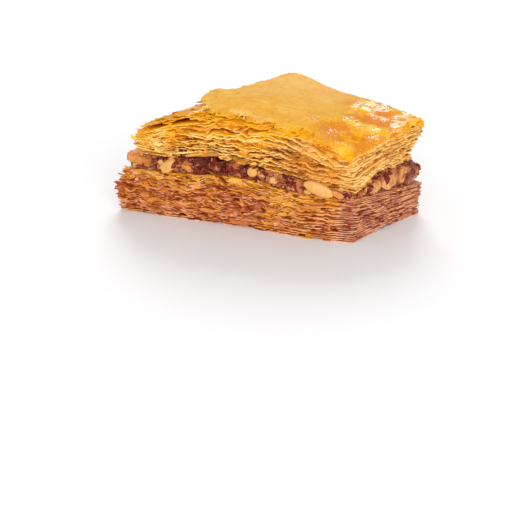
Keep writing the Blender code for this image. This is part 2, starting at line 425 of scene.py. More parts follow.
def finished_tree(wire, shape, material):
    shape = wire.node("GeometryNodeSetMaterial", {}, {"Geometry": shape, "Material": material})
    group_output = wire.tree.nodes.new("NodeGroupOutput")
    wire.tree.links.new(shape.socket, group_output.inputs[0])
    return wire.tree


# %% Noise, stored numbers and vectors in a tree


def noise_at(wire, place, scale, w, detail=1.0, roughness=0.5):
    """Noise from 0 to 1 in four dimensions; w tells one leaf's noise from the next."""
    inputs = {"Vector": place, "W": w, "Scale": scale, "Detail": detail, "Roughness": roughness}
    return wire.node("ShaderNodeTexNoise", {"noise_dimensions": "4D"}, inputs)


def named(wire, name):
    return wire.node("GeometryNodeInputNamedAttribute", {"data_type": "FLOAT"}, {"Name": name})


def stored(wire, geometry, values, domain="POINT"):
    """The geometry with numbers stored on it under their names."""
    settings = {"data_type": "FLOAT", "domain": domain}
    for name, value in values.items():
        inputs = {"Geometry": geometry, "Name": name, "Value": value}
        geometry = wire.node("GeometryNodeStoreNamedAttribute", settings, inputs)
    return geometry


def vector(wire, x, y, z):
    return wire.node("ShaderNodeCombineXYZ", {}, {0: x, 1: y, 2: z})


def boxed(wire, place, given):
    place = wire.maths("MAXIMUM", place, given["Box low"])
    return wire.maths("MINIMUM", place, given["Box high"])


def chances(wire, seed):
    """Random draws. Each call of what it returns gives every point its own number."""
    order = wire.node("GeometryNodeInputIndex")
    draws = itertools.count(1)

    def chance(low=0.0, high=1.0):
        inputs = {2: low, 3: high, 7: order, 8: seed + float(next(draws))}
        return wire.node("FunctionNodeRandomValue", {"data_type": "FLOAT"}, inputs, 1)

    return chance


# %% Places round a stack
OUTLINES = ("Foot outline", "Belly outline", "Top outline")
STACK_INPUTS = {
    **dict.fromkeys(OUTLINES, "Object"),
    "Box low": "Vector", "Box high": "Vector", "Lift": 0.0, "Damp": 0.0, "Material": "Material",
}


def on_outline(wire, shape, around, output=1):
    """The place at a share of the way round an outline, or its direction with output 2."""
    curve = wire.node("GeometryNodeObjectInfo", {}, {"Object": shape}, 4)
    inputs = {"Curves": curve, "Factor": around}
    return wire.node("GeometryNodeSampleCurve", {"mode": "FACTOR"}, inputs, output)


def round_stack(wire, given, around):
    """The places on a stack's three outlines, the direction of the cut, and the way out."""
    places = [on_outline(wire, given[label], around) for label in OUTLINES]
    tangent = on_outline(wire, given["Belly outline"], around, 2)
    outwards = vector(wire, tangent.part(1), tangent.part(0) * -1.0, 0.0)
    return places, tangent, outwards


def edge_at(level, places):
    """The cut's place at a level from 0 to 1, from its places on the three outlines."""
    low, belly, high = places
    edge = low + (belly - low) * limited(level * 2.0, 0.0, 1.0)
    return edge + (high - belly) * limited(level * 2.0 - 1.0, 0.0, 1.0)


# %% [markdown]
# Pastry leaves. A baked stack isn't a block with lines on it: each leaf is a wavy sheet
# a quarter of a millimetre thick, stuck to its neighbours in some places and lifted off
# them in others, which opens lens-shaped gaps at the cut. One tree makes a whole stack.
# It starts from a flat grid for one leaf, stacks as many as asked, and adds up an
# uneven gap for every leaf in a repeat zone, so that no two leaves cross.

# %% Where leaves arch, soak and are pressed


def arch_over(u, v):
    """Where the upper stack's lowest leaves arch over a hollow in the nuts."""
    return bell(u, 0.31, 0.12) * bell(v, 0.0, 0.1)


def damp_rise(u):
    """Syrup has risen higher in the leaves towards FRONT and the short cut."""
    return smooth_step(0.5, 0.85, u)


def pressed_share(u):
    """1 on the short cut, where the knife pressed the leaves together, and 0 elsewhere."""
    return smooth_step(0.93, 0.99, u)


# %% The level of each leaf


def level_of_leaf(wire, given, belly, leaf, calm):
    """From 0 to 1: the gaps below this leaf, over all the gaps in the stack."""
    tree = wire.tree
    start = tree.nodes.new("GeometryNodeRepeatInput")
    end = tree.nodes.new("GeometryNodeRepeatOutput")
    start.pair_with_output(end)
    end.repeat_items.clear()
    for label in ("below", "whole"):
        end.repeat_items.new("FLOAT", label)
    tree.links.new(given["Leaves"].socket, start.inputs["Iterations"])
    turn, below, whole = (Wire(tree, socket) for socket in list(start.outputs)[:3])
    lifted = noise_at(wire, belly, given["Gaps a metre"], turn * 3.7 + given["Seed"])
    lens = noise_at(wire, belly, given["Gaps a metre"] * 2.4, turn * 5.1 + given["Seed"], 0.0)
    lifted = wire.maths("MAXIMUM", lifted - 0.4, 0.0) * given["Gap"]
    opened = wire.maths("MAXIMUM", lens - 0.66, 0.0) * given["Opening"]
    gap = (lifted + opened) * calm + 0.45
    counted = wire.maths("LESS_THAN", turn, leaf)
    tree.links.new((below + gap * counted).socket, end.inputs["below"])
    tree.links.new((whole + gap).socket, end.inputs["whole"])
    below, whole = (Wire(tree, end.outputs[label]) for label in ("below", "whole"))
    return below / whole


# %% A sheet with a thickness
SAME_PLACE = 1e-6
SHARP_BEND = 0.9


def thickened(wire, sheet, thickness):
    """The sheet pushed up, with a wall round it, over the same sheet turned over."""
    push = {"Mesh": sheet, "Offset": (0, 0, 1), "Offset Scale": thickness, "Individual": False}
    raised = wire.node("GeometryNodeExtrudeMesh", {"mode": "FACES"}, push)
    under = wire.node("GeometryNodeFlipFaces", {}, {"Mesh": sheet})
    join = wire.tree.nodes.new("GeometryNodeJoinGeometry")
    for half in (under, raised):
        wire.tree.links.new(half.socket, join.inputs[0])
    solid = Wire(wire.tree, join.outputs[0])
    solid = wire.node("GeometryNodeMergeByDistance", {}, {"Geometry": solid, "Distance": SAME_PLACE})
    solid = wire.node("GeometryNodeSetShadeSmooth", {"domain": "FACE"}, {"Geometry": solid})
    gentle = wire.maths("LESS_THAN", wire.node("GeometryNodeInputMeshEdgeAngle"), SHARP_BEND)
    smoothed = {"Geometry": solid, "Selection": gentle}
    return wire.node("GeometryNodeSetShadeSmooth", {"domain": "EDGE"}, smoothed)


# %% A tree that stacks pastry leaves
LEAF_ROWS = 4
LEAF_INPUTS = {
    **STACK_INPUTS,
    "Middle": "Vector", "Leaves": 18, "Around": 520, "Depth": 0.22, "Seed": 1.0, "Gap": 2.0,
    "Opening": 18.0, "Gaps a metre": 75.0, "Snapped": 1.0 * MM, "Ragged": 1.0 * MM, "Slide": 1.0 * MM,
    "Droop": 1.0 * MM, "Hollow": 0.0, "Crinkle": 0.5 * MM, "Thickness": 0.3 * MM, "Belly": 0.0,
}


def stacked_grids(wire, given):
    """Flat grids, one for each leaf. A grid runs once round the piece and a few steps inwards."""
    spot = wire.node("GeometryNodeInputPosition")
    counts = {"Vertices X": given["Around"], "Vertices Y": LEAF_ROWS}
    grid = wire.node("GeometryNodeMeshGrid", {}, counts)
    grid = stored(wire, grid, {"around": spot.part(0) + 0.5, "inward": spot.part(1) + 0.5})
    line = wire.node("GeometryNodeMeshLine", {}, {"Count": given["Leaves"], "Offset": (0, 0, 0)})
    stack = wire.node("GeometryNodeInstanceOnPoints", {}, {"Points": line, "Instance": grid})
    stack = stored(wire, stack, {"leaf": wire.node("GeometryNodeInputIndex")}, "INSTANCE")
    return wire.node("GeometryNodeRealizeInstances", {}, {"Geometry": stack})


def leaf_stack_tree(name, foot, top):
    wire, given = tree_with_inputs(name, LEAF_INPUTS)
    stack = stacked_grids(wire, given)
    around, inward, leaf = (named(wire, label) for label in ("around", "inward", "leaf"))
    places, _, outwards = round_stack(wire, given, around)
    belly = places[1]
    u, v = unit_place(belly.part(0), belly.part(1))
    pressed = pressed_share(u)
    calm = 1.0 - 0.8 * pressed
    level = level_of_leaf(wire, given, belly, leaf, calm)
    edge = edge_at(level, places)

    def leaf_noise(scale, step, detail, roughness=0.5):
        """Noise along the edge. Each leaf reads it one step further on, so no two are alike."""
        return noise_at(wire, edge, scale, leaf * step + given["Seed"], detail, roughness)

    # The leaf's edge, torn, slid and snapped, and its way inwards.
    at_edge = 1.0 - inward
    torn = leaf_noise(380.0, 3.1, 3.0, 0.9) - 0.5
    slide = leaf_noise(30.0, 7.7, 0.0) - 0.5
    snapped = smooth_step(0.55, 0.58, leaf_noise(110.0, 6.1, 2.0))
    out = torn * given["Ragged"] * 3.0 + slide * given["Slide"] * 3.0 - snapped * given["Snapped"]
    out = out * (0.4 + 0.6 * calm)
    hollow = bell(u, 0.42, 0.2) * smooth_step(0.24, 0.04, level)
    hollow = hollow * smooth_step(0.42, 0.52, noise_at(wire, edge, 80.0, given["Seed"], 1.0))
    out = out - hollow * given["Hollow"]
    swollen = bell(u, 0.82, 0.16) * bell(v, 0.0, 0.03) * (1.0 - level) * given["Belly"]
    reach = 1.0 - inward**2.2 * given["Depth"]
    place = given["Middle"] + (edge - given["Middle"]) * reach
    place = place + outwards * ((out + swollen) * at_edge)

    # Its height between the stack's two faces, its drooping edge and its crinkles.
    x, y = place.part(0), place.part(1)
    curved = at_edge * at_edge
    droop = wire.maths("MAXIMUM", leaf_noise(90.0, 1.7, 1.0) - 0.3, 0.0)
    droop = droop * given["Droop"] * (level * 3.4 + 0.6)
    droop = droop * (1.0 + smooth_step(0.6, 0.9, u) * calm * 0.8)
    crinkle = (leaf_noise(420.0, 0.8, 3.0) - 0.5) * given["Crinkle"]
    base, roof = foot(x, y), top(x, y)
    height = base + (roof - base) * level + (crinkle * 2.0 - droop) * curved * (0.35 + 0.65 * calm)
    height = height + arch_over(u, v) * given["Lift"] * (1.0 - level) ** 3.0 * curved
    place = boxed(wire, vector(wire, x, y, height), given)

    # The finished sheet, what its material reads, and its thickness.
    sheet = wire.node("GeometryNodeSetPosition", {}, {"Geometry": stack, "Position": place})
    damp_level = level - damp_rise(u) * given["Damp"]
    read = {"tone": leaf_noise(45.0, 5.3, 2.0), "edge": at_edge, "level": damp_level, "pressed": pressed}
    sheet = stored(wire, sheet, read)
    sheet = wire.node("GeometryNodeMergeByDistance", {}, {"Geometry": sheet, "Distance": SAME_PLACE})
    return finished_tree(wire, thickened(wire, sheet, given["Thickness"]), given["Material"])


# %% [markdown]
# Pastry as a material. A baked leaf is golden where it is thin and crisp, and pale along
# its broken edge, which is partly a painted highlight on the thin rim. Deep in a gap it is
# painted dark brown, a painted shade, and low in the stack, where syrup has soaked in,
# it is darker too. The tree stores how near each point is to the cut, its level in the
# stack and a tone for its part of the leaf. The shader lays coats of colour over each
# other by those numbers and by noise in the object's own coordinates.

# %% Colours and noise in a material


def new_material(name):
    material = bpy.data.materials.new(name)
    material.use_nodes = True
    shader = material.node_tree.nodes["Principled BSDF"]
    return material, Wire(material.node_tree), shader


def blend(wire, amount, first, second):
    """first where amount is 0 and second where it is 1, as a colour."""
    settings = {"data_type": "RGBA", "clamp_factor": True}
    first, second = (c if isinstance(c, Wire) else (*c, 1.0) for c in (first, second))
    return wire.node("ShaderNodeMix", settings, {0: amount, 6: first, 7: second}, 2)


def painted(wire, colour, *coats):
    """Coats of colour, each an amount and a colour, laid one over the other."""
    for amount, coat in coats:
        colour = blend(wire, amount, colour, coat)
    return colour


def attribute(wire, name):
    return wire.node("ShaderNodeAttribute", {"attribute_name": name}, {}, 2)


def object_place(wire):
    return wire.node("ShaderNodeTexCoord", {}, {}, 3)


def cloud(wire, place, scale, detail=3.0, roughness=0.55):
    inputs = {"Vector": place, "Scale": scale, "Detail": detail, "Roughness": roughness}
    return wire.node("ShaderNodeTexNoise", {}, inputs)


def bumped(wire, height, strength, distance):
    return wire.node("ShaderNodeBump", {}, {"Height": height, "Strength": strength, "Distance": distance})


def plug(wire, shader, values):
    for name, value in values.items():
        if isinstance(value, Wire):
            wire.tree.links.new(value.socket, shader.inputs[name])
        else:
            shader.inputs[name].default_value = value


# %% Leaf material


def leaf_material(name, golden, toasted, pale, deep, cavity, low, crown, side, syrup_highlight, syrup, from_level):
    """golden and toasted mix over every leaf. low, crown and side colour the stack's foot, its
    top and its pressed cut. deep and cavity are painted shade in its gaps and holes, pale
    its torn rims, partly a painted highlight, and the colour for syrup streaks is a painted highlight."""
    material, wire, shader = new_material(name)
    place = object_place(wire)
    edge, tone, pressed = (attribute(wire, label) for label in ("edge", "tone", "pressed"))
    patches = cloud(wire, place, 240.0, 4.0, 0.6)
    fine = cloud(wire, place, 1100.0, 2.0)
    # The pale streaks of syrup coloured here are painted highlights, glints along the syrup.
    highlight_streaks = cloud(wire, place * (1.0, 1.0, 4.5), 330.0, 3.0)
    pockets = cloud(wire, place * (1.0, 1.0, 4.0) + (0.5, 0.3, 0.1), 280.0, 1.0)
    height = attribute(wire, "level") + (patches - 0.5) * 0.5
    free = 1.0 - pressed
    damp = smooth_step(0.05, -0.25, height) * free
    # glow paints amber patches of light shining through the thin pastry, a painted glow.
    glow = smooth_step(0.5, 0.62, cloud(wire, place, 75.0, 3.0)) * 0.5
    squeezed = smooth_step(0.1, 0.95, pressed + (patches - 0.5) * 1.4 * free)
    # gap is painted shade: darker deep in a gap between leaves, and darker still low in the stack.
    gap = blend(wire, smooth_step(0.4, 0.15, height), deep, cavity)
    # The pale torn rims are pale dry pastry and partly a painted highlight on the thin edges.
    torn = smooth_step(0.9, 1.0, edge + (fine - 0.5) * 0.2)
    broken = smooth_step(0.27 + syrup * 0.17, 0.52 + syrup * 0.1, patches)
    # The lens-shaped holes are painted dark, a painted shade where the leaves part.
    shaded_holes = smooth_step(0.64 - syrup * 0.04, 0.7 - syrup * 0.04, pockets)
    wet = smooth_step(0.48, 0.6, cloud(wire, place, 95.0, 2.0)) * syrup
    baked = blend(wire, smooth_step(0.45, 0.55, tone * 0.6 + patches * 0.4), golden, toasted)
    colour = painted(
        wire,
        baked,
        (smooth_step(0.4, 0.1, height) * 0.7, low),
        (damp * 0.5, deep),
        (glow * free, crown),
        (smooth_step(from_level, from_level + 0.2, height) * 0.7, crown),
        (squeezed * 0.75, side),
        (smooth_step(0.54, 0.64, highlight_streaks) * syrup * 0.8, syrup_highlight),
        (smooth_step(0.95, 0.4, edge), gap),
        (torn * broken, blend(wire, damp * 0.6, pale, low)),
        (shaded_holes * (0.35 + syrup * 0.6), gap),
    )
    plug(wire, shader, {
        "Base Color": colour,
        "Roughness": 0.55 - wet * 0.25,
        "Coat Weight": wet * 0.3,
        "Coat Roughness": 0.15,
        "Specular IOR Level": 0.15,
        "Normal": bumped(wire, fine + patches * 0.5, 0.5, 0.3 * MM),
    })
    return material


# %% Crisp leaves and soaked leaves
GOLDEN, AMBER = (0.94, 0.47, 0.018), (0.88, 0.39, 0.006)
CRISP = leaf_material(
    "crisp_leaves", golden=GOLDEN, toasted=(0.87, 0.36, 0.008), pale=(1.0, 0.76, 0.27),
    deep=(0.58, 0.15, 0.002), cavity=(0.24, 0.022, 0.001), low=(0.76, 0.32, 0.08), crown=AMBER,
    side=(0.90, 0.44, 0.10), syrup_highlight=(1.0, 0.62, 0.12), syrup=0.35, from_level=0.6,
)
SOAKED = leaf_material(
    "soaked_leaves", golden=(0.74, 0.27, 0.03), toasted=(0.42, 0.085, 0.022), pale=(0.92, 0.46, 0.19),
    deep=(0.26, 0.02, 0.001), cavity=(0.22, 0.016, 0.001), low=(0.56, 0.16, 0.045), crown=GOLDEN,
    side=(0.50, 0.19, 0.135), syrup_highlight=(0.86, 0.42, 0.26), syrup=0.9, from_level=0.7,
)
print("leaf materials", CRISP.name, SOAKED.name)

# %% [markdown]
# The middle of a stack. Further in than a few millimetres the leaves are stuck together,
# so behind them stands one closed wall, made from rows of points at rising levels. It
# has bumps and lens-shaped pockets, which look like deeper leaves through the gaps.

# %% Solid middle of a stack
POLE_MARK = 0.3
CORE_SAMPLES = 420
RECESS = 3.0 * MM


def grain(x, y, z, scale, flat, seed, octaves=3):
    """Noise, about -1 to 1, stretched along the leaves: flat times finer in height."""
    places = zip(x * scale, y * scale, z * scale * flat + seed)
    return np.array([noise.fractal(Vector(place), 1.0, 2.0, octaves) for place in places])


def skin(name, rows, material, marks):
    """A closed mesh from rows of points round the piece, closed by a point at each end.
    marks holds the attributes: for each label, one row of values for each row of points."""
    count = len(rows[0])
    points = [tuple(p) for row in rows for p in row] + [tuple(rows[0].mean(0)), tuple(rows[-1].mean(0))]
    faces = []
    for row in range(len(rows) - 1):
        for i in range(count):
            j = (i + 1) % count
            a, b = row * count, (row + 1) * count
            faces.append((a + i, a + j, b + j, b + i))
    last = (len(rows) - 1) * count
    for i in range(count):
        j = (i + 1) % count
        faces.append((j, i, len(points) - 2))
        faces.append((last + i, last + j, len(points) - 1))
    mesh = bpy.data.meshes.new(name)
    mesh.from_pydata(points, [], faces)
    for label, values in marks.items():
        mark(mesh, label, np.concatenate([np.ravel(values), [POLE_MARK, POLE_MARK]]))
    mesh.shade_smooth()
    mesh.materials.append(material)
    print(name, sum(len(face) - 2 for face in faces), "triangles")
    return link(bpy.data.objects.new(name, mesh))


def core_of_stack(
    name, corners, foot, top, material, reach, bumps, pocket, seed, damp=0.0, bands=24, hollow=None
):
    """The stuck middle of a layer. Its wall has bumps, lens-shaped pockets pocket deep, and
    where hollow is 1 a recess, whose paste is painted darker as a painted shade."""
    wall = [(level, 1.0) for level in np.linspace(0.02, 0.97, bands)]
    rows = []
    marks = {"edge": [], "tone": [], "level": [], "pressed": [], "kind": []}
    for level, shrink in [(0.02, 0.5)] + wall + [(0.97, 0.66), (0.97, 0.33)]:
        points = outline(corners, level, CORE_SAMPLES, reach * shrink)
        x, y = points[:, 0], points[:, 1]
        height = foot(x, y) + (top(x, y) - foot(x, y)) * level
        away = points - points.mean(0)
        away = away / np.linalg.norm(away, axis=1)[:, None]
        u, v = unit_place(x, y)
        pressed = pressed_share(u)
        sunk = hollow(u, v) * smooth_step(0.15, 0.4, level) if hollow else 0.0 * u
        hole = smooth_step(0.3, 0.5, grain(x, y, height, 130.0, 4.0, seed)) * (1 - 0.8 * pressed)
        rough = grain(x, y, height, 330.0, 2.5, seed + 9.0)
        points = points + away * (rough * bumps - hole * pocket - sunk * RECESS)[:, None]
        rows.append(np.concatenate([points, height[:, None]], -1))
        # The edge mark sets the wall in from the cut, so its material paints it with the gap's painted
        # shade, darker still in the pockets.
        marks["edge"].append(0.74 + 0.12 * rough - 0.4 * hole)
        marks["tone"].append(0.5 + 0.3 * grain(x, y, height, 60.0, 2.0, seed + 20.0, 2))
        marks["level"].append(level - damp * damp_rise(u))
        marks["pressed"].append(pressed)
        kind = 0.5 + 0.5 * grain(x, y, height, 260.0, 1.0, seed + 30.0, 2)
        # Paste in the recess is painted darker, a painted shade.
        marks["kind"].append(kind - 0.6 * sunk)
    return skin(name, rows, material, marks)


# %% [markdown]
# The two stacks. The lower one has stood in syrup, so its leaves are dark and pressed
# together. The upper one stayed crisp: fewer leaves, wider gaps, and edges that droop
# over each other like shingles.

# %% Between which faces the leaves lie
SIDE_MARGIN = 0.05 * MM
LEAF_HEADROOM = 0.5 * MM


def upper_foot(x, y):
    return upper_stack_foot(x, y) + 0.3 * MM


def under_crust(x, y):
    return crust_top(x, y) - 3.0 * MM


def leaf_roof(x, y):
    return crust_top(x, y) - 0.9 * MM


def stack_values(name, corners, material, headroom):
    """What every tree round a stack is given. headroom stays free below the top of the box."""
    values = {"Material": material}
    for label, level in zip(OUTLINES, (0.0, 0.5, 1.0)):
        values[label] = curve_object(f"{name}_{label}", outline(corners, level))
    values["Box low"] = tuple(CAD_LOW + (SIDE_MARGIN, SIDE_MARGIN, 0.0))
    values["Box high"] = tuple(CAD_HIGH - (SIDE_MARGIN, SIDE_MARGIN, headroom))
    return values


def leaf_stack(name, corners, foot, top, material, **sizes):
    values = stack_values(name, corners, material, LEAF_HEADROOM)
    values["Middle"] = middle_of(corners, 0.5)
    values.update({label.replace("_", " "): value for label, value in sizes.items()})
    return grow(name, leaf_stack_tree(name + "_tree", foot, top), values)


# %% Lay both stacks
lower_leaves = leaf_stack(
    "lower_leaves", LOWER_CORNERS, ground, lower_stack_top, SOAKED,
    Leaves=21, Seed=4.0, Gap=0.9, Opening=13.0, Gaps_a_metre=80.0, Ragged=0.7 * MM, Slide=1.0 * MM,
    Snapped=2.2 * MM, Droop=0.5 * MM, Crinkle=0.2 * MM, Thickness=0.24 * MM, Belly=2.0 * MM,
)
upper_leaves = leaf_stack(
    "upper_leaves", UPPER_CORNERS, upper_foot, leaf_roof, CRISP,
    Leaves=18, Seed=11.0, Gap=1.8, Opening=9.0, Gaps_a_metre=60.0, Ragged=1.3 * MM, Slide=1.7 * MM,
    Snapped=2.0 * MM, Droop=1.0 * MM, Hollow=2.6 * MM, Lift=2.3 * MM, Damp=0.8,
    Crinkle=0.45 * MM, Thickness=0.22 * MM,
)
lower_core = core_of_stack(
    "lower_core", LOWER_CORNERS, ground, lower_stack_top, SOAKED, 0.972, 0.45 * MM, 1.8 * MM, 3.0
)
upper_core = core_of_stack(
    "upper_core", UPPER_CORNERS, upper_foot, under_crust, CRISP, 0.91, 0.5 * MM, 1.5 * MM, 13.0, 0.6
)
for piece in (lower_leaves, lower_core):
    keep(piece, "soaked_pastry", "pastry_bottom")
for piece in (upper_leaves, upper_core):
    keep(piece, "golden_pastry", "pastry_top")

# %% [markdown]
# Broken flakes. A knife never cuts baked leaves cleanly: splinters of leaf stay at the
# cut, lying flat or hanging a little. Each is a bent plate with a torn outline, a few
# faces only, because there are thousands. A tree throws them along the cut at random
# levels and lays each one along the edge it broke from.

# %% Flake shapes
SAMPLE_SHAPES = 5


def flake_shape(name, seed, sides=7):
    draw = np.random.default_rng(seed)
    angles = (np.arange(sides) + draw.uniform(-0.3, 0.3, sides)) / sides * math.tau
    reach = draw.uniform(0.5, 1.0, sides)
    x, y = 0.5 * reach * np.cos(angles), 0.5 * reach * np.sin(angles)
    rise = 0.25 * (x * x - 0.12)
    bm = bmesh.new()
    rings = []
    for lift in (rise, rise + 0.05):
        rings.append([bm.verts.new((a, b, c)) for a, b, c in zip(x, y, lift)])
    for ring, lift, order in ((rings[0], -0.03, -1), (rings[1], 0.02, 1)):
        hub = bm.verts.new((0, 0, lift))
        for first, second in zip(ring, ring[1:] + ring[:1]):
            bm.faces.new((hub, first, second)[::order])
    for i in range(sides):
        j = (i + 1) % sides
        bm.faces.new((rings[0][i], rings[0][j], rings[1][j], rings[1][i]))
    return bpy.data.objects.new(name, plain_mesh(name, bm))


# %% A tree that strews flakes along a cut
FLAKE_INPUTS = {
    **STACK_INPUTS,
    "Flakes": "Collection", "Count": 900, "Round": 1.0, "Lowest": 0.02, "Highest": 0.97,
    "Shortest": 1.0 * MM, "Longest": 4.0 * MM, "Width": 0.5, "Proud": 0.4 * MM, "Hang": 0.5,
    "Lean": 0.0, "Clear": 0.0, "Seed": 1,
}


def strewn(wire, points, shapes, turn, size):
    """One of the collection's shapes, picked in turn, on every point."""
    picked = {"Collection": shapes, "Separate Children": True, "Reset Children": True}
    shapes = wire.node("GeometryNodeCollectionInfo", {}, picked)
    inputs = {"Points": points, "Instance": shapes, "Pick Instance": True, "Rotation": turn, "Scale": size}
    return wire.node("GeometryNodeInstanceOnPoints", {}, inputs)


def strewn_flakes_tree(name, foot, top):
    wire, given = tree_with_inputs(name, FLAKE_INPUTS)
    chance = chances(wire, given["Seed"] * 20.0)

    # A place on the cut for each flake.
    around = chance() * given["Round"]
    level = chance() * (given["Highest"] - given["Lowest"]) + given["Lowest"]
    places, tangent, outwards = round_stack(wire, given, around)
    place = edge_at(level, places) + outwards * (chance(-1.0, 0.6) * given["Proud"])
    x, y = place.part(0), place.part(1)
    u, v = unit_place(x, y)
    height = foot(x, y) + (top(x, y) - foot(x, y)) * level
    height = height + arch_over(u, v) * given["Lift"] * (1.0 - level) ** 3.0
    place = vector(wire, x, y, height)
    points = wire.node("GeometryNodePoints", {}, {"Count": given["Count"], "Position": place})

    # How it lies, and how large it is.
    heading = wire.maths("ARCTAN2", tangent.part(1), tangent.part(0)) + chance(-0.35, 0.35)
    hang = chance(-1.0, 0.25) * given["Hang"] - given["Lean"]
    turn = vector(wire, hang * -1.0, chance(-0.4, 0.4), heading)
    length = chance() ** 1.5 * (given["Longest"] - given["Shortest"]) + given["Shortest"]
    pressed = pressed_share(u)
    length = length * (1.0 - 0.45 * pressed) * (1.0 - given["Clear"] * arch_over(u, v))
    size = vector(wire, length, length * given["Width"], length * 0.6)
    flakes = strewn(wire, points, given["Flakes"], turn, size)
    damp_level = level - damp_rise(u) * given["Damp"]
    read = {"tone": chance(0.2, 0.8), "edge": chance(0.6, 1.0), "level": damp_level, "pressed": pressed}
    flakes = stored(wire, flakes, read, "INSTANCE")
    flakes = wire.node("GeometryNodeRealizeInstances", {}, {"Geometry": flakes})
    spot = boxed(wire, wire.node("GeometryNodeInputPosition"), given)
    flakes = wire.node("GeometryNodeSetPosition", {}, {"Geometry": flakes, "Position": spot})
    return finished_tree(wire, flakes, given["Material"])


def strew(name, corners, foot, top, material, seed, **sizes):
    shapes = [flake_shape(f"{name}_shape_{i}", seed * 10 + i) for i in range(SAMPLE_SHAPES)]
    values = stack_values(name, corners, material, SIDE_MARGIN)
    values.update(sizes, Flakes=collected(name + "_shapes", shapes), Seed=seed)
    return grow(name, strewn_flakes_tree(name + "_tree", foot, top), values)


# %% Strew both stacks
lower_flakes = strew(
    "lower_flakes", LOWER_CORNERS, ground, lower_stack_top, SOAKED, 5,
    Count=2200, Shortest=1.0 * MM, Longest=4.5 * MM, Width=0.35, Proud=0.5 * MM, Hang=0.3,
)
upper_flakes = strew(
    "upper_flakes", UPPER_CORNERS, upper_foot, leaf_roof, CRISP, 6,
    Highest=0.93, Count=1300, Shortest=1.0 * MM, Longest=5.0 * MM, Width=0.4, Proud=0.5 * MM,
    Hang=0.55, Lift=1.9 * MM, Damp=0.8, Clear=0.5,
)
hanging_flakes = strew(
    "hanging_flakes", UPPER_CORNERS, upper_foot, crust_top, CRISP, 8,
    Count=130, Round=0.45, Lowest=0.0, Highest=0.1, Shortest=2.5 * MM, Longest=6.5 * MM,
    Width=0.42, Proud=0.6 * MM, Hang=1.2, Lift=2.6 * MM, Damp=0.8, Clear=0.9,
)
# Where syrup ran down the cut, bits of leaf lie flat against it.
sticky_films = strew(
    "sticky_films", LOWER_CORNERS, ground, lower_stack_top, SOAKED, 9,
    Count=160, Round=0.25, Lowest=0.06, Highest=0.95, Shortest=2.0 * MM, Longest=8.0 * MM, Width=0.28,
    Proud=0.35 * MM, Hang=0.5, Lean=1.1,
)
shingles = strew(
    "shingles", UPPER_CORNERS, upper_foot, leaf_roof, CRISP, 12,
    Count=200, Lowest=0.15, Highest=0.9, Shortest=2.5 * MM, Longest=8.0 * MM, Width=0.32,
    Proud=0.4 * MM, Hang=0.5, Lean=0.45, Lift=1.9 * MM, Damp=0.8, Clear=0.5,
)
for flakes in (lower_flakes, sticky_films):
    keep(flakes, "soaked_pastry", "pastry_bottom")
for flakes in (upper_flakes, hanging_flakes, shingles):
    keep(flakes, "golden_pastry", "pastry_top")

# %% [markdown]
# The crust. The topmost leaf is a broad smooth sheet, tan and matt, that puffs up
# behind the diagonal cut. It has flaked off at the LEFT corner, where three torn leaves
# and a whole one show, one under the other. Towards the right it wrinkles and shines
# with syrup.

# %% Crust material


def crust_material():
    material, wire, shader = new_material("baked_crust")
    place = object_place(wire)
    glossy, ridge = attribute(wire, "glossy"), attribute(wire, "ridge")
    broad = cloud(wire, place, 90.0, 4.0, 0.6)
    fine = cloud(wire, place, 900.0, 4.0, 0.7)
    blisters = cloud(wire, place, 280.0, 3.0)
    wrinkle = wire.maths("ABSOLUTE", cloud(wire, place, 190.0, 3.0, 0.5) - 0.5)
    wrinkle = smooth_step(0.035, 0.0, wrinkle)
    smear = cloud(wire, place * (1.0, 2.4, 1.0), 170.0, 5.0, 0.65)
    specks_and_glints = smooth_step(0.58, 0.71, cloud(wire, place * (1.0, 1.8, 1.0), 1100.0, 3.0))
    specks_and_glints = specks_and_glints * smooth_step(0.46, 0.58, cloud(wire, place + (0.2, 0.1, 0.0), 110.0, 2.0))
    wet = glossy * smooth_step(0.46, 0.56, cloud(wire, place, 150.0, 2.0))
    tan = painted(
        wire,
        blend(wire, smooth_step(0.38, 0.62, broad), (0.84, 0.41, 0.012), (0.90, 0.50, 0.05)),
        (smooth_step(0.46, 0.62, smear) * 0.8, (0.88, 0.42, 0.004)),
        (smooth_step(0.5, 0.64, blisters) * 0.4, (0.74, 0.30, 0.003)),
        # Paler towards the back: a painted sheen, the sky's reflection seen at a grazing angle.
        (smooth_step(-8.0 * MM, 22.0 * MM, place.part(1)) * 0.6, (0.90, 0.53, 0.15)),
    )
    # The syrup is painted darker orange in the valleys, a painted shade, and pale cream on the ridge tops,
    # a painted highlight.
    amber = smooth_step(0.2, 0.75, ridge + (blisters - 0.5) * 1.2)
    amber = painted(
        wire,
        blend(wire, amber, (0.78, 0.25, 0.001), (0.92, 0.43, 0.002)),
        (smooth_step(0.72, 1.1, ridge + (fine - 0.5) * 0.6), (0.95, 0.58, 0.07)),
    )
    # Dark wrinkle lines are painted shade in the creases; the specks are pale flecks with painted glints
    # among them.
    colour = painted(
        wire,
        tan,
        (glossy, amber),
        (wrinkle * (0.25 + 0.35 * glossy), (0.72, 0.21, 0.001)),
        (specks_and_glints * 0.6, (1.0, 0.76, 0.32)),
    )
    plug(wire, shader, {
        "Base Color": colour,
        "Roughness": 0.55 - wet * 0.3 + (fine - 0.5) * 0.3,
        "Coat Weight": wet * 0.74,
        "Coat Roughness": 0.07,
        "Specular IOR Level": 0.1,
        "Normal": bumped(wire, fine * 1.1 + smear * 1.5 - wrinkle * 0.3, 0.8, 0.45 * MM),
    })
    return material


CRUST = crust_material()
print("crust material", CRUST.name)

# %% [markdown]
# Each crust leaf is a grid bent over the crust formula, turned over below itself and
# closed by a wall. A torn edge is a grid whose border is moved, so nothing has to be cut.

# %% Crust leaves as closed sheets
CRUST_THICKNESS = 0.4 * MM


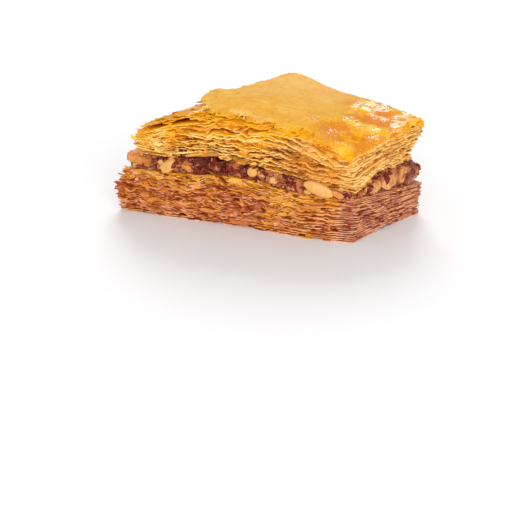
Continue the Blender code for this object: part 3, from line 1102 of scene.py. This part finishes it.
def lumps(x, y, scale, seed, octaves=3):
    """Smooth noise, about -1 to 1, at each point."""
    places = zip(np.ravel(x * scale), np.ravel(y * scale))
    values = [noise.fractal(Vector((a, b, seed)), 1.0, 2.0, octaves) for a, b in places]
    return np.reshape(values, np.shape(x))


def closed_sheet(name, x, y, top, material, marks):
    """A thin solid: a grid of points, the same grid turned over below it, and a wall."""
    rows, columns = x.shape
    upper = np.stack([x, y, top], -1).reshape(-1, 3)
    lower = np.stack([x, y, top - CRUST_THICKNESS], -1).reshape(-1, 3)
    index = np.arange(rows * columns).reshape(rows, columns)
    corners = (index[:-1, :-1], index[:-1, 1:], index[1:, 1:], index[1:, :-1])
    a, b, c, d = (corner.ravel() for corner in corners)
    faces = np.stack([a, b, c, d], -1)
    under = np.stack([d, c, b, a], -1) + len(upper)
    rim = np.concatenate([index[0, :-1], index[:-1, -1], index[-1, :0:-1], index[:0:-1, 0]])
    ahead = np.roll(rim, -1)
    wall = np.stack([rim, rim + len(upper), ahead + len(upper), ahead], -1)
    points, faces = np.concatenate([upper, lower]), np.concatenate([faces, under, wall])
    mesh = bpy.data.meshes.new(name)
    mesh.from_pydata(points.tolist(), [], faces.tolist())
    for label, values in marks.items():
        mark(mesh, label, np.tile(np.ravel(values), 2))
    mesh.shade_smooth()
    mesh.set_sharp_from_angle(angle=math.radians(50))
    mesh.materials.append(material)
    print(name, 2 * len(mesh.polygons), "triangles")
    return link(bpy.data.objects.new(name, mesh))


# %% The torn grid and the relief of a crust leaf


def torn_grid(grid, tear, rough, seed):
    """Unit places (u, v), where the tear starts in u, and the jags of the ragged cuts."""
    rows, columns = grid
    across, along = np.meshgrid(np.linspace(0, 1, columns), np.linspace(0, 1, rows))
    rag = lumps(along, across * 0, 6.0, seed, 4) + 0.2 * lumps(along, across * 0, 70.0, seed, 3)
    torn_at = np.maximum(TEAR_U * (tear + rough * rag - along / TEAR_V), 0.0)
    u, v = torn_at + (1 - torn_at) * across, along * 1.0
    # The cut edges are ragged too, and the corner at the wall is blunt.
    jag = lumps(u * 60, v * 60, 0.55, seed + 3, 3)
    near_front, near_side = (1 - v) ** 12, bell(u, 1.0, 0.02)
    snapped = smooth_step(0.05, 0.2, lumps(u * 60, v * 20, 0.2, seed + 7, 2))
    v = v + near_front * (0.045 * snapped - 0.01 * jag) - bell(u, 0.0, 0.03) * bell(v, 1.0, 0.03) * 0.03
    v = v + bell(v, 1.0, 0.02) * (0.012 * jag - 0.006)
    u = u + near_side * (0.008 * jag - 0.012 * snapped) + bell(u, 0.0, 0.02) * (0.008 + 0.01 * jag)
    return u, v, torn_at, jag


def gloss(u, v, x, y):
    """Syrup covers the right-hand part, and patches along the diagonal cut."""
    glossy = smooth_step(0.6, 0.8, u + 0.25 * v - 0.12 + 0.1 * lumps(x, y, 90.0, 2.0, 2))
    patchy = smooth_step(-0.2, 0.1, lumps(x, y, 120.0, 4.0, 2))
    return np.maximum(glossy, 0.5 * bell(v, 0.0, 0.07) * patchy)


def relief(x, y, v, glossy, swell, seed):
    """Folds and blisters in millimetres, with soft pads between creases where it is glossy."""
    folds = 1 - np.abs(lumps(x * 0.5 + y * 0.4, y - x * 0.35, 60.0, 12.0, 2)) * 3
    rise = lumps(x, y, 45.0, seed + 1, 3) * 0.4 + np.maximum(folds, 0) * 0.22
    rise = rise + lumps(x, y, 260.0, seed, 3) * 0.12
    pillows = 0.75 * swell * smooth_step(1.05, 0.6, v) + 0.2 * lumps(x, y, 230.0, 15.0, 3)
    crackle = lumps(x * 1.0 + y * 0.4, y - x * 0.3, 620.0, 25.0, 2)
    return rise + glossy * (pillows + 0.14 * crackle - 0.14) + 0.03 * crackle


# %% Bake the crust


def crust_leaf(name, tear, drop, seed, rough=0.16, grid=(110, 130)):
    """One leaf of the crust, torn along u / TEAR_U + v / TEAR_V = tear, drop below the top."""
    u, v, torn_at, jag = torn_grid(grid, tear, rough, seed)
    xs, ys = corner_places(UPPER_CORNERS, 1.0)
    x, y = between_corners(xs, u, v), between_corners(ys, u, v)
    glossy = gloss(u, v, x, y)
    swell = lumps(x * 0.8 + y * 0.5, y - x * 0.7, 105.0, 5.0, 3)
    ridge = np.clip(0.5 + 0.9 * swell + 0.3 * lumps(x, y, 300.0, 3.0, 2), 0.0, 1.0)
    height = crust_height(u, v) - drop
    if drop == 0:
        height = height + (1 - u) * MM + wall_curl(u, v)
    curl = bell(u, torn_at, 0.04) * (torn_at > 0.001) * (0.5 + 0.7 * lumps(x, y, 120.0, 6.0 + seed, 2))
    edge_fall = bell(v, 0.0, 0.03) + bell(u, 1.0, 0.025) + bell(v, 1.0, 0.03) + bell(u, 0.0, 0.03)
    height = height + (curl * 0.9 + relief(x, y, v, glossy, swell, seed)) * MM
    height = height - edge_fall * (0.45 + 0.4 * jag) * MM
    height = np.minimum(height, CAD_HIGH[2] - SIDE_MARGIN)
    if drop > 0:
        glossy = np.maximum(glossy, 0.6 + 0.4 * jag)
        ridge = np.clip(ridge * 0.3 + 0.3 + 0.5 * jag, 0.0, 1.0)
    return closed_sheet(name, x, y, height, CRUST, {"glossy": glossy, "ridge": ridge})


crust_leaves = (
    crust_leaf("crust_leaf", 0.93, 0.0, 1.0, grid=(150, 220)),
    crust_leaf("torn_leaf_1", 0.80, 0.4 * MM, 21.0, rough=0.25),
    crust_leaf("torn_leaf_2", 0.54, 0.8 * MM, 31.0, rough=0.4),
    crust_leaf("torn_leaf_3", 0.34, 1.15 * MM, 51.0, rough=0.3),
    crust_leaf("under_leaf", -1.0, 1.6 * MM, 41.0),
)
for leaf in crust_leaves:
    keep(leaf, "golden_pastry", "pastry_top")

# %% [markdown]
# The filling. Chopped nuts are broken, so each has flat faces where it snapped: a
# sphere pressed flat against a few planes gives that shape. One tree throws hundreds
# of them round the cut of the layer, at random places and turns, and keeps each
# between the two stacks. The same tree, made again with other sizes, gives the crumbs.

# %% Broken nuts


def broken_nut(name, seed, divisions, cuts=7):
    draw = np.random.default_rng(seed)
    bm = bmesh.new()
    bmesh.ops.create_icosphere(bm, subdivisions=divisions, radius=0.5)
    squash = np.array([1.0, draw.uniform(0.6, 0.95), draw.uniform(0.45, 0.8)])
    planes = draw.normal(size=(cuts, 3))
    planes /= np.linalg.norm(planes, axis=1)[:, None]
    for vert in bm.verts:
        point = np.array(vert.co)
        point = point * (1 + 0.12 * noise.noise(Vector(point * 5 + seed)))
        for plane, depth in zip(planes, np.linspace(0.12, 0.36, cuts)):
            point = point - max(0.0, point @ plane - depth) * plane
        vert.co = point * squash
    mesh = plain_mesh(name, bm)
    mesh.shade_smooth()
    mesh.set_sharp_from_angle(angle=math.radians(32))
    return bpy.data.objects.new(name, mesh)


# %% Dark hollows


def dark_hollows(u, v):
    """1 where the cut shows a hollow between the nuts and the upper stack. The nuts and paste
    there are painted darker, a painted shade.
    """
    along = bell(u, 0.31, 0.035) + bell(u, 0.41, 0.025) + bell(u, 0.51, 0.03) * 0.6
    return along * bell(v, 0.0, 0.1)


def cavities(u, v):
    """How far the nuts stay below the upper stack there."""
    return dark_hollows(u, v) * (2.3 * MM)


# %% A tree that strews nuts
FULL_TURN = 6.28
NUT_INPUTS = {
    "Outline": "Object", "Nuts": "Collection", "Middle": "Vector", "Count": 200,
    "Smallest": 2.0 * MM, "Largest": 5.0 * MM, "Inset": 0.05, "Seed": 1, "Material": "Material",
}


def strewn_nuts_tree(name):
    wire, given = tree_with_inputs(name, NUT_INPUTS)
    chance = chances(wire, given["Seed"] * 10.0)
    points = wire.node("GeometryNodePoints", {}, {"Count": given["Count"]})
    edge = on_outline(wire, given["Outline"], chance())
    place = edge + (given["Middle"] - edge) * (chance(-0.25, 1.0) * given["Inset"])
    x, y = place.part(0), place.part(1)
    u, v = unit_place(x, y)
    bulge = bell(u, 0.42, 0.22) * bell(v, 0.0, 0.06) * (2.2 * MM)
    low = lower_stack_top(x, y) - 0.7 * MM
    high = upper_stack_foot(x, y) + bulge - cavities(u, v) * 1.9 + 0.3 * MM
    room = high - low
    size = chance() ** 1.6 * (given["Largest"] - given["Smallest"]) + given["Smallest"]
    size = wire.maths("MINIMUM", size, room * 0.9)
    height = low + size * 0.4 + (room - size * 0.8) * chance()
    place = vector(wire, x, y, height)
    points = wire.node("GeometryNodeSetPosition", {}, {"Geometry": points, "Position": place})
    turn = vector(wire, chance(0.0, FULL_TURN), chance(0.0, FULL_TURN), chance(0.0, FULL_TURN))
    nuts = strewn(wire, points, given["Nuts"], turn, size)
    # Nuts in the hollows are painted darker, a painted shade.
    nuts = stored(wire, nuts, {"kind": chance() - dark_hollows(u, v) * 0.8}, "INSTANCE")
    nuts = wire.node("GeometryNodeRealizeInstances", {}, {"Geometry": nuts})
    return finished_tree(wire, nuts, given["Material"])


# %% Nut materials


def nut_material(name, dark, brown, pale, share_dark, share_brown, soft=0.05, shine=0.55):
    """Chopped nuts: some dark with skin and syrup, some brown, the rest pale inside."""
    material, wire, shader = new_material(name)
    place = object_place(wire)
    mottle = cloud(wire, place, 500.0, 4.0, 0.65)
    mixed = attribute(wire, "kind") + (mottle - 0.5) * 0.7
    spots = smooth_step(0.52, 0.68, cloud(wire, place, 1500.0, 2.0))
    colour = painted(
        wire,
        blend(wire, smooth_step(share_dark - soft, share_dark + soft, mixed), dark, brown),
        (smooth_step(share_brown - soft, share_brown + soft, mixed), pale),
        (spots * 0.45, dark),
    )
    plug(wire, shader, {
        "Base Color": colour,
        "Roughness": 0.55 - smooth_step(0.5, 0.6, mottle) * 0.25,
        "Coat Weight": smooth_step(0.5, 0.62, cloud(wire, place, 260.0, 1.0)) * shine,
        "Coat Roughness": 0.12,
        "Specular IOR Level": 0.15,
        "Normal": bumped(wire, mottle, 0.5, 0.25 * MM),
    })
    return material


DARK_NUT, BROWN_NUT, PALE_NUT = (0.18, 0.025, 0.014), (0.49, 0.15, 0.045), (0.72, 0.36, 0.12)
MIXED_NUTS = nut_material("mixed_nuts", DARK_NUT, BROWN_NUT, PALE_NUT, 0.32, 0.8)
CRUMBS = nut_material("nut_crumbs", DARK_NUT, BROWN_NUT, (0.62, 0.27, 0.09), 0.4, 0.8)
PASTE = nut_material(
    "nut_paste", (0.13, 0.018, 0.012), (0.43, 0.14, 0.065), (0.66, 0.30, 0.12), 0.45, 0.66, shine=0.08
)
print("filling materials", MIXED_NUTS.name, CRUMBS.name, PASTE.name)

# %% Fill the layer


def strew_nuts(name, divisions, material, seed, **sizes):
    shapes = [broken_nut(f"{name}_{i}", seed * 10 + i, divisions) for i in range(SAMPLE_SHAPES)]
    values = {
        "Outline": curve_object(name + "_rim", outline(FILLING_CORNERS, 0.0)),
        "Nuts": collected(name + "_shapes", shapes),
        "Middle": middle_of(FILLING_CORNERS, 0.0),
        "Seed": seed,
        "Material": material,
    }
    return grow(name, strewn_nuts_tree(name + "_tree"), {**values, **sizes})


def filling_foot(x, y):
    return lower_stack_top(x, y) + 0.1 * MM


def filling_roof(x, y):
    return upper_stack_foot(x, y) - cavities(*unit_place(x, y))


chopped_nuts = strew_nuts(
    "chopped_nuts", 2, MIXED_NUTS, 3, Count=420, Smallest=1.8 * MM, Largest=6.5 * MM, Inset=0.09
)
nut_crumbs = strew_nuts(
    "nut_crumbs", 1, CRUMBS, 7, Count=3400, Smallest=0.5 * MM, Largest=1.6 * MM, Inset=0.04
)
nut_paste = core_of_stack(
    "nut_paste", FILLING_CORNERS, filling_foot, filling_roof, PASTE, 0.985, 1.0 * MM, 0.8 * MM, 33.0,
    bands=16, hollow=dark_hollows,
)
for piece in (chopped_nuts, nut_crumbs, nut_paste):
    keep(piece, "chopped_nuts", "nut_filling")

# %% [markdown]
# A few nuts are large enough to know: a sliced almond on the diagonal cut, a roasted
# piece that sticks out at LEFT, a walnut at RIGHT. Each is a sphere drawn out to its
# own length, width and thickness, with a little unevenness.

# %% Large nuts
TAN_NUT = nut_material(
    "cut_almond", (0.55, 0.23, 0.06), (0.76, 0.38, 0.10), (0.82, 0.46, 0.14), 0.34, 0.6, 0.15
)
ROASTED = nut_material(
    "roasted_nut", (0.42, 0.12, 0.02), (0.70, 0.26, 0.055), (0.80, 0.38, 0.12), 0.4, 0.66, 0.18
)
WALNUT = nut_material("walnut", (0.12, 0.024, 0.014), (0.26, 0.075, 0.035), (0.56, 0.25, 0.12), 0.45, 0.58)
BROWN_PIECE = nut_material(
    "brown_nut", (0.26, 0.06, 0.02), (0.60, 0.25, 0.075), (0.78, 0.40, 0.13), 0.38, 0.58, 0.15
)


def large_nut(name, place, size, turn, tilt, material, seed, rough=0.06, boxy=2.0, side_shade=0.0):
    """place and size in millimetres, place from the FRONT corner at the base. The last number
    paints one end darker than the other, a painted shade."""
    bm = bmesh.new()
    kinds = []
    bmesh.ops.create_icosphere(bm, subdivisions=4, radius=0.5)
    turned = Matrix.Rotation(math.radians(turn), 3, "Z") @ Matrix.Rotation(math.radians(tilt), 3, "Y")
    centre = Vector((place[0] * MM + FRONT_CORNER[0], place[1] * MM + FRONT_CORNER[1], place[2] * MM))
    for vert in bm.verts:
        direction = vert.co.normalized()
        blocky = sum(abs(c) ** boxy for c in direction) ** (-1 / boxy)
        swell = blocky * (1 + rough * noise.fractal(direction * 3 + Vector((seed, 0, 0)), 1.0, 2.0, 4))
        shape = Vector(c * swell * length * MM / 2 for c, length in zip(direction, size))
        vert.co = centre + turned @ shape
        # One end is painted darker than the other, a painted shade on the nut's shaded side.
        kinds.append(0.5 - side_shade * direction.x)
    mesh = plain_mesh(name, bm)
    mesh.shade_smooth()
    mesh.materials.append(material)
    mark(mesh, "kind", kinds)
    print(name, size, "mm")
    return keep(link(bpy.data.objects.new(name, mesh)), "chopped_nuts", "nut_filling")


large_nut("almond_slice", (-8.7, -1.5, 15.9), (9.4, 2.4, 4.0), 0, 16, TAN_NUT, 1.0, 0.03)
large_nut("left_nut", (-64.4, 0.6, 17.2), (8.8, 6.4, 2.8), -14, 4, ROASTED, 2.0, 0.07, 6.0, 0.26)
# A thin dark sheet under the left nut is a painted shadow in the cleft below it.
large_nut("nut_skin", (-63.4, -0.2, 15.4), (9.2, 6.4, 1.3), -14, 4, WALNUT, 11.0, 0.12)
large_nut("walnut_piece", (12.3, 22.5, 15.0), (6.0, 4.4, 6.6), 61, 14, WALNUT, 3.0, 0.3, 2.6)
large_nut("pale_bit", (-29.1, -1.3, 18.2), (3.2, 1.8, 2.9), 0, 0, TAN_NUT, 4.0)
large_nut("almond_piece", (-55.2, -1.7, 16.6), (5.6, 2.4, 3.4), 0, -35, TAN_NUT, 5.0, 0.15, 3.0)
large_nut("red_piece", (-49.6, -1.0, 17.0), (3.6, 2.0, 1.9), 0, 45, ROASTED, 9.0, 0.15, 3.0)
large_nut("orange_bit", (-3.0, -1.2, 14.9), (3.4, 1.6, 1.9), 0, 24, ROASTED, 6.0, 0.15, 3.0)
large_nut("side_nut", (8.7, 15.1, 14.9), (5.8, 2.4, 4.4), 61, -30, BROWN_PIECE, 7.0, 0.18, 3.0)
large_nut("side_nut_long", (11.1, 19.5, 15.4), (2.6, 2.2, 5.0), 61, 22, BROWN_PIECE, 10.0, 0.18, 3.0)
large_nut("side_nut_brown", (5.4, 9.0, 14.6), (5.0, 2.2, 3.8), 61, -20, BROWN_PIECE, 8.0, 0.2, 3.0)

# %% [markdown]
# Studio. A pale floor, a bright even sky and two soft lights. The one behind the piece
# is smaller and draws the glints on the syrup; the one in front shows the cuts.

# %% Floor and light
FLOOR_REACH = 4.0
SKY_STRENGTH = 0.6
LIGHT_TARGET = (0, 0, 0.015)


def studio_floor():
    mesh = bpy.data.meshes.new("floor")
    corners = [(x * FLOOR_REACH, y * FLOOR_REACH, 0) for x, y in ((-1, -1), (1, -1), (1, 1), (-1, 1))]
    mesh.from_pydata(corners, [], [(0, 1, 2, 3)])
    floor = link(bpy.data.objects.new("floor", mesh))
    material, wire, shader = new_material("pale_floor")
    plug(wire, shader, {"Base Color": (0.9, 0.9, 0.91, 1.0), "Roughness": 0.6})
    mesh.materials.append(material)
    floor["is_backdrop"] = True


def bright_sky():
    world = bpy.data.worlds.new("sky")
    world.use_nodes = True
    background = world.node_tree.nodes["Background"]
    background.inputs["Color"].default_value = (1.0, 1.0, 1.0, 1.0)
    background.inputs["Strength"].default_value = SKY_STRENGTH
    bpy.context.scene.world = world


def soft_light(name, place, size, power):
    lamp = bpy.data.lights.new(name, "AREA")
    lamp.size, lamp.energy = size, power
    thing = link(bpy.data.objects.new(name, lamp))
    thing.location = place
    thing.rotation_euler = (Vector(LIGHT_TARGET) - Vector(place)).to_track_quat("-Z", "Y").to_euler()
    print(name, power, "watts")


studio_floor()
bright_sky()
soft_light("back_light", (-0.2, 0.6, 0.5), 0.4, 3.0)
soft_light("front_light", (0.3, -0.65, 0.25), 0.6, 4.5)

# %% [markdown]
# The camera stands where the photo's camera stood: its place in millimetres from the
# FRONT corner, then how far it is turned to the left, tipped down and rolled.

# %% Camera
CAMERA_PLACE = (90.4, -364.4, 176.5)
CAMERA_TURN = math.radians(17.98)
CAMERA_DIP = math.radians(25.9)
CAMERA_ROLL = math.radians(-1.0)
CAMERA_LENS, CAMERA_SENSOR = 98.93, 36.0


def photo_camera():
    turn_sin, turn_cos = math.sin(CAMERA_TURN), math.cos(CAMERA_TURN)
    dip_sin, dip_cos = math.sin(CAMERA_DIP), math.cos(CAMERA_DIP)
    ahead = Vector((-turn_sin * dip_cos, turn_cos * dip_cos, -dip_sin))
    level_right = Vector((turn_cos, turn_sin, 0))
    level_up = level_right.cross(ahead)
    right = math.cos(CAMERA_ROLL) * level_right - math.sin(CAMERA_ROLL) * level_up
    up = math.sin(CAMERA_ROLL) * level_right + math.cos(CAMERA_ROLL) * level_up
    camera = bpy.data.cameras.new("camera")
    camera.lens, camera.sensor_width = CAMERA_LENS, CAMERA_SENSOR
    thing = link(bpy.data.objects.new("camera", camera))
    turn = Matrix((right, up, -ahead)).transposed().to_4x4()
    x, y, z = (value * MM for value in CAMERA_PLACE)
    thing.matrix_world = Matrix.Translation((x + FRONT_CORNER[0], y + FRONT_CORNER[1], z)) @ turn
    bpy.context.scene.camera = thing
    bpy.context.scene.view_settings.view_transform = "Standard"


photo_camera()
print("camera", CAMERA_PLACE, "mm from the FRONT corner")
